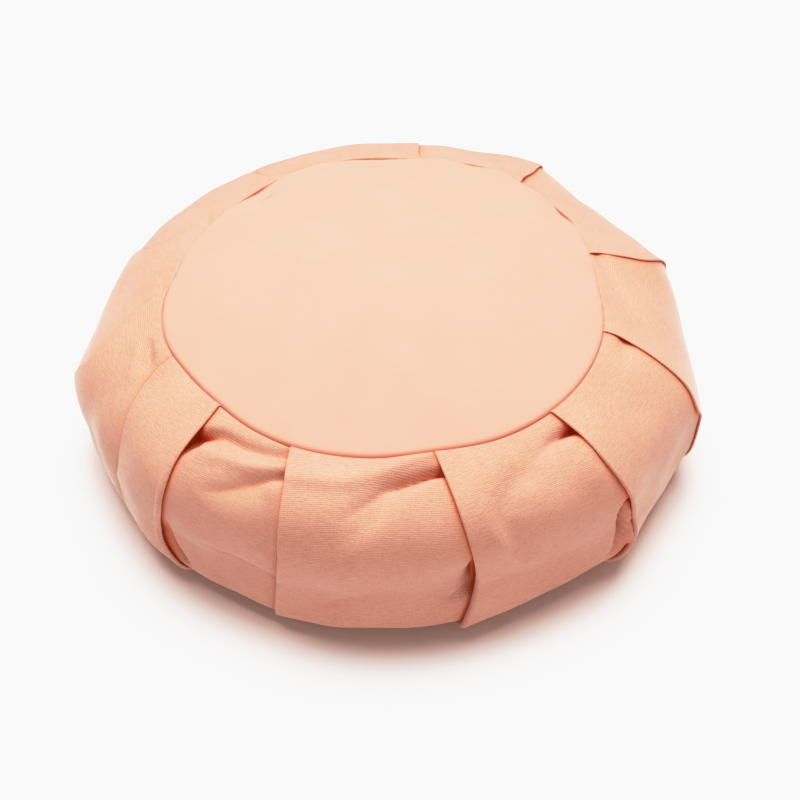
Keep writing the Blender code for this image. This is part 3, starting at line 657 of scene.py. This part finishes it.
RIB = 1.1 * MM  # from one weft rib to the next
WAVE_TURN = 2 * np.pi / 20  # the wave texture's own length of one wave, at scale 1
SLUB_LENGTH, SLUB_WIDTH = 5 * MM, 1.2 * MM  # thicker stretches of yarn, along the ribs
FIBRE, DYE_PATCH = 1.1 * MM, 35 * MM  # loose fibre, and where the dye has taken a little more or less
RIB_PART, SLUB_PART, FIBRE_PART = 0.35, 0.7, 0.8  # of the relief
MEAN_RELIEF, DYE_PART = 0.92, 0.25
# Painted shade colours for cloth tucked in among other cloth, and the colour of its painted glow.
PAINTED_SHADE_ORANGE, PAINTED_SHADE_DEEP, PAINTED_GLOW = "#CE6424", "#932A10", "#FF3B12"


def cotton_canvas(name, face, hollow_shade, rib_height, relief_shade):
    """Dyed cotton canvas: fine weft ribs, uneven yarn, and a pale bloom of loose fibre at the edges.

    It is matt, with hardly a shine. Where it is tucked in among other cloth, painted shade turns it a deep
    orange, and a faint painted glow stands for the light that passes between and through the layers.
    """
    material = bpy.data.materials.new(name)
    material.use_nodes = True
    tree = material.node_tree
    shader = tree.nodes["Principled BSDF"]
    cloth = add(tree, "UVMap", uv_map="weave").outputs["UV"]
    ribs = add(tree, "TexWave", {"Vector": cloth, "Scale": WAVE_TURN / RIB, "Distortion": 2.5, "Detail": 2,
                                 "Detail Scale": 1.2}, bands_direction="Y").outputs["Fac"]
    along = add(tree, "Mapping", {"Vector": cloth, "Scale": (1 / SLUB_LENGTH, 1 / SLUB_WIDTH, 1)})
    along = along.outputs["Vector"]
    slubs = add(tree, "TexNoise", {"Vector": along, "Scale": 1, "Detail": 2, "Roughness": 0.6}).outputs["Fac"]
    fibre = add(tree, "TexNoise", {"Vector": cloth, "Scale": 1 / FIBRE, "Detail": 3}).outputs["Fac"]
    dye = add(tree, "TexNoise", {"Vector": cloth, "Scale": 1 / DYE_PATCH, "Detail": 3}).outputs["Fac"]
    relief = add(tree, "Math", {0: ribs, 1: RIB_PART}, operation="MULTIPLY").outputs[0]
    relief = add(tree, "Math", {0: slubs, 1: SLUB_PART, 2: relief}, operation="MULTIPLY_ADD").outputs[0]
    relief = add(tree, "Math", {0: fibre, 1: FIBRE_PART, 2: relief}, operation="MULTIPLY_ADD").outputs[0]
    bump = add(tree, "Bump", {"Height": relief, "Distance": rib_height, "Strength": 1.0})
    tree.links.new(bump.outputs["Normal"], shader.inputs["Normal"])

    # Painted shade: the colour is darker where the relief is low, between the ribs, and lighter on their
    # crests; the dye patches are the cloth's own.
    shade = add(tree, "Math", {0: relief, 1: relief_shade}, operation="MULTIPLY").outputs[0]
    shade = add(tree, "Math", {0: dye, 1: DYE_PART, 2: shade}, operation="MULTIPLY_ADD").outputs[0]
    darkest = MEAN_RELIEF * relief_shade
    shade = add(tree, "MapRange", {"Value": shade, "From Min": darkest, "From Max": DYE_PART + darkest})
    colour = add(tree, "Mix", {"Factor": shade.outputs[0], "A": linear(hollow_shade), "B": linear(face)},
                 data_type="RGBA").outputs["Result"]
    # Painted shade where the cloth is tucked in, first orange and then a deep red-brown, and a faint painted
    # glow: an emission standing for light through the layers.
    shade_and_glow = add(tree, "Attribute", {}, attribute_name="shade_and_glow").outputs["Fac"]
    orange_shade = add(tree, "Math", {0: shade_and_glow, 1: 0.75}, operation="MULTIPLY").outputs[0]
    colour = add(tree, "Mix", {"Factor": orange_shade, "A": colour, "B": linear(PAINTED_SHADE_ORANGE)},
                 data_type="RGBA").outputs["Result"]
    deep_shade = add(tree, "MapRange", {"Value": shade_and_glow, "From Min": 0.5, "From Max": 1, "To Max": 0.8}).outputs[0]
    colour = add(tree, "Mix", {"Factor": deep_shade, "A": colour, "B": linear(PAINTED_SHADE_DEEP)},
                 data_type="RGBA").outputs["Result"]
    tree.links.new(colour, shader.inputs["Base Color"])
    glow = add(tree, "MapRange", {"Value": shade_and_glow, "From Min": 0.4, "From Max": 1, "To Max": 0.09}).outputs[0]
    tree.links.new(glow, shader.inputs["Emission Strength"])
    shader.inputs["Emission Color"].default_value = linear(PAINTED_GLOW)

    shader.inputs["Roughness"].default_value = 0.92
    shader.inputs["Specular IOR Level"].default_value = 0.15
    bloom = add(tree, "MapRange", {"Value": shade_and_glow, "To Min": 0.6, "To Max": 0}).outputs[0]
    tree.links.new(bloom, shader.inputs["Sheen Weight"])
    shader.inputs["Sheen Roughness"].default_value = 0.35
    shader.inputs["Sheen Tint"].default_value = linear("#FFF1EA")
    return material


# The band's ribs stand up, with painted shade in the hollows between them, which gives the eye a dry, finely
# lined cloth.
band_canvas = cotton_canvas("ribbed cotton canvas", "#CE9782", "#BB7F6C", rib_height=0.15 * MM, relief_shade=0.62)
side_band.data.materials.append(band_canvas)
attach(side_band, "root")
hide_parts("pleated_band")

# ---------------------------------------------------------------------------------------------------
# The top disc: one round of the same canvas, sewn edge to edge inside the band's top edge. The
# filling crowns it, and its rim rolls down into the seam.

RIM_ROUND = 2.2 * MM
RIM_RISE = 1.4 * MM  # how high the disc stands over the seam before its rim rolls down
# Painted shade on the rim where it rolls down into the seam, deepest at its foot.
RIM_SHADE = 0.35  # how far in the rim looks, at its foot
SLIT_WIDTH = 1.0 * MM  # how far the rim draws back from the band where the seam gapes
DISC_GAP = 0.15 * MM
INNER_EDGE = 0.975  # the inner face ends at this share of the seam's radius
disc_angles = np.arange(0, 360, 0.75)
rim_turns = np.radians([90, 70, 50, 30, 10, 0])
seam_mean = WAIST_RADIUS * SEAM_RATIO
rim_in = RIM_ROUND * (1 - np.cos(rim_turns)) + DISC_GAP
inner_ratios = np.concatenate([np.linspace(0.02, 0.8, 26), np.linspace(0.82, 0.97, 12)])
ratios = np.concatenate([inner_ratios, 1 - rim_in / seam_mean])


def disc_piece(name, heights, shift, middle, up):
    """A disc's outer face and, a cloth's thickness behind it, its inner face."""
    side = 1 if up else -1
    behind = -side * DISC_THICK
    groove = groove_depth(disc_angles) if up else np.ones(len(disc_angles))
    slit = SLIT_WIDTH * np.clip(groove - 1, 0, 2) / seam_mean
    falls = np.concatenate([np.zeros(len(inner_ratios)), side * RIM_ROUND * (1 - np.sin(rim_turns))])
    outer = [
        disc_point(disc_angles, ratio - slit * (ratio > 0.9), height - fall * groove, shift)
        for ratio, height, fall in zip(ratios, heights, falls)
    ]
    inner = [disc_point(disc_angles, ratios[-1] - slit, heights[-1] - falls[-1] + behind / 2, shift)]
    for ratio, height in zip(ratios[::6][::-1], heights[::6][::-1]):
        inner.append(disc_point(disc_angles, min(ratio, INNER_EDGE), height + behind, shift))
    tips = WAIST_CENTRE + [[*shift, middle], [*shift, middle + behind]]
    points, faces = closed_shell(np.array([*outer, *inner]) + WAIST_CENTRE, tips)
    if not up:
        faces = [face[::-1] for face in faces]
    piece = new_piece(name, points, faces, points[:, :2].copy())
    # Painted shade on the rolled rim, and full shade on the hidden inner face.
    shade_and_glow = np.concatenate([RIM_SHADE * ease(np.abs(falls) / RIM_ROUND), np.ones(len(inner))])
    shade_and_glow = np.outer(shade_and_glow, groove).clip(0, 1).ravel()
    mark_painted_shade(piece, np.concatenate([shade_and_glow, (0, 1)]))
    return piece


crown = (CROWN - RIM_RISE) * (1 - ratios**2)
top_disc = disc_piece("top_disc", TOP_SEAM + crown + RIM_RISE, TOP_SHIFT, TOP_SEAM + CROWN, up=True)
# The discs are the same cotton, stretched so flat that the ribs and their painted shade all but go. Their
# colours are a little paler than the band's: painted light for the brighter light on the top disc.
disc_canvas = cotton_canvas("plain cotton canvas", "#D19380", "#CD8B78", rib_height=0.03 * MM, relief_shade=0.1)
top_disc.data.materials.append(disc_canvas)
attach(top_disc, "root")
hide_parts("top_panel")

# ---------------------------------------------------------------------------------------------------
# The bottom disc: a second round of canvas, sewn in as the top one is. The cushion stands on it, so
# it lies flat, and only its rim turns up into the seam.

bottom_disc = disc_piece("bottom_disc", np.zeros(len(ratios)), (0, 0), 0, up=False)
bottom_disc.data.materials.append(disc_canvas)
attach(bottom_disc, "root")
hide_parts("bottom_panel")

# ---------------------------------------------------------------------------------------------------
# The floor: a plain pale surface, matt, under and round the cushion. Close by, a warm bounce light is
# painted into its colour, which also reddens the shadow there, as the cushion throws more warm light back on
# it than the shading alone gives.

FLOOR_SIZE = 8.0
FLOOR_HEIGHT = -0.2 * MM  # clear of the bottom disc, which lies at 0
FLOOR_PAINTED_BOUNCE, FLOOR_PALE = "#ECD8D0", "#EEEEEF"
WARM_CENTRE = (WAIST_CENTRE[0], WAIST_CENTRE[1] + 8 * MM, 0)
WARM_FROM, WARM_TO = 176 * MM, 191 * MM
bpy.ops.object.select_all(action="DESELECT")
bpy.ops.mesh.primitive_plane_add(size=FLOOR_SIZE, location=(0, 0, FLOOR_HEIGHT))
floor = bpy.context.object
floor.name = "floor"
pale = bpy.data.materials.new("pale matt surface")  # smooth and dull, with no pattern of its own
pale.use_nodes = True
pale_tree = pale.node_tree
pale_shader = pale_tree.nodes["Principled BSDF"]
# Painted warm bounce light and reddened shadow: the colour warms within a ring round the cushion.
place = add(pale_tree, "TexCoord").outputs["Object"]
flat = add(pale_tree, "VectorMath", {0: place, 1: (1, 1, 0)}, operation="MULTIPLY").outputs["Vector"]
away = add(pale_tree, "VectorMath", {0: flat, 1: WARM_CENTRE}, operation="DISTANCE").outputs["Value"]
away = add(pale_tree, "MapRange", {"Value": away, "From Min": WARM_FROM, "From Max": WARM_TO}).outputs[0]
bounce_painted_colour = add(pale_tree, "Mix", {"Factor": away, "A": linear(FLOOR_PAINTED_BOUNCE), "B": linear(FLOOR_PALE)},
             data_type="RGBA").outputs["Result"]
pale_tree.links.new(bounce_painted_colour, pale_shader.inputs["Base Color"])
pale_shader.inputs["Roughness"].default_value = 0.7
pale_shader.inputs["Specular IOR Level"].default_value = 0.2
floor.data.materials.append(pale)

# ---------------------------------------------------------------------------------------------------
# The light: a wide soft oval overhead, a little behind the cushion, a weak low one from the front
# right, and an even pale surround. The camera's response washes out the floor and the brightest cloth.


def soft_light(name, place, aim, width, depth, power, colour):
    """An oval lamp at a place, turned to its aim."""
    data = bpy.data.lights.new(name, "AREA")
    data.shape, data.size, data.size_y = "ELLIPSE", width, depth
    data.energy, data.color = power, linear(colour)[:3]
    light = bpy.data.objects.new(name, data)
    heading = Vector(aim) - Vector(place)
    light.matrix_world = Matrix.Translation(place) @ heading.to_track_quat("-Z", "Y").to_matrix().to_4x4()
    bpy.context.scene.collection.objects.link(light)


soft_light("key", (-0.03, 0.22, 1.5), (0, 0, 0), width=1.6, depth=0.9, power=52, colour="#FFFEFD")
soft_light("fill", (0.9, -1.5, 0.38), (0, 0, 0.03), width=1.2, depth=1.2, power=6.5, colour="#FFFAF8")
world = bpy.data.worlds.new("pale surround")
world.use_nodes = True
background = world.node_tree.nodes["Background"]
background.inputs["Color"].default_value = linear("#FCEFE9")
background.inputs["Strength"].default_value = 0.36
bpy.context.scene.world = world

# How bright each light shows, where 0.5 is a full white: steep at first, then a long soft shoulder.
FULL_WHITE = 2
RESPONSE = (
    (0.06, 0.105), (0.15, 0.275), (0.2, 0.38), (0.27, 0.55), (0.33, 0.65), (0.4, 0.755), (0.5, 0.86),
    (0.6, 0.915), (0.75, 0.94),
)
view = bpy.context.scene.view_settings
view.view_transform = "Standard"
view.use_curve_mapping = True
response = view.curve_mapping
response.white_level = (FULL_WHITE, FULL_WHITE, FULL_WHITE)
all_channels = response.curves[3]
all_channels.points[0].location = (0, 0)
all_channels.points[1].location = (1, 0.945)
for light_in, shown in RESPONSE:
    all_channels.points.new(light_in, shown)
response.update()

# ---------------------------------------------------------------------------------------------------
# The camera: at the photograph's viewing angle, looking down at about 45 degrees from the front.

CAMERA_DISTANCE = 0.72
CAMERA_RISE = np.radians(45.53)
AIM = (0.0045, 0, -0.0362)  # from the waist's centre
LENS = 54.86
SENSOR_WIDTH = 36
waist = Vector(WAIST_CENTRE) + Vector((0, 0, WAIST_HEIGHT))
camera_place = waist + CAMERA_DISTANCE * Vector((0, -np.cos(CAMERA_RISE), np.sin(CAMERA_RISE)))
camera_data = bpy.data.cameras.new("camera")
camera_data.lens = LENS
camera_data.sensor_width = SENSOR_WIDTH
camera = bpy.data.objects.new("camera", camera_data)
heading = waist + Vector(AIM) - camera_place
camera.matrix_world = Matrix.Translation(camera_place) @ heading.to_track_quat("-Z", "Y").to_matrix().to_4x4()
bpy.context.scene.collection.objects.link(camera)
bpy.context.scene.camera = camera
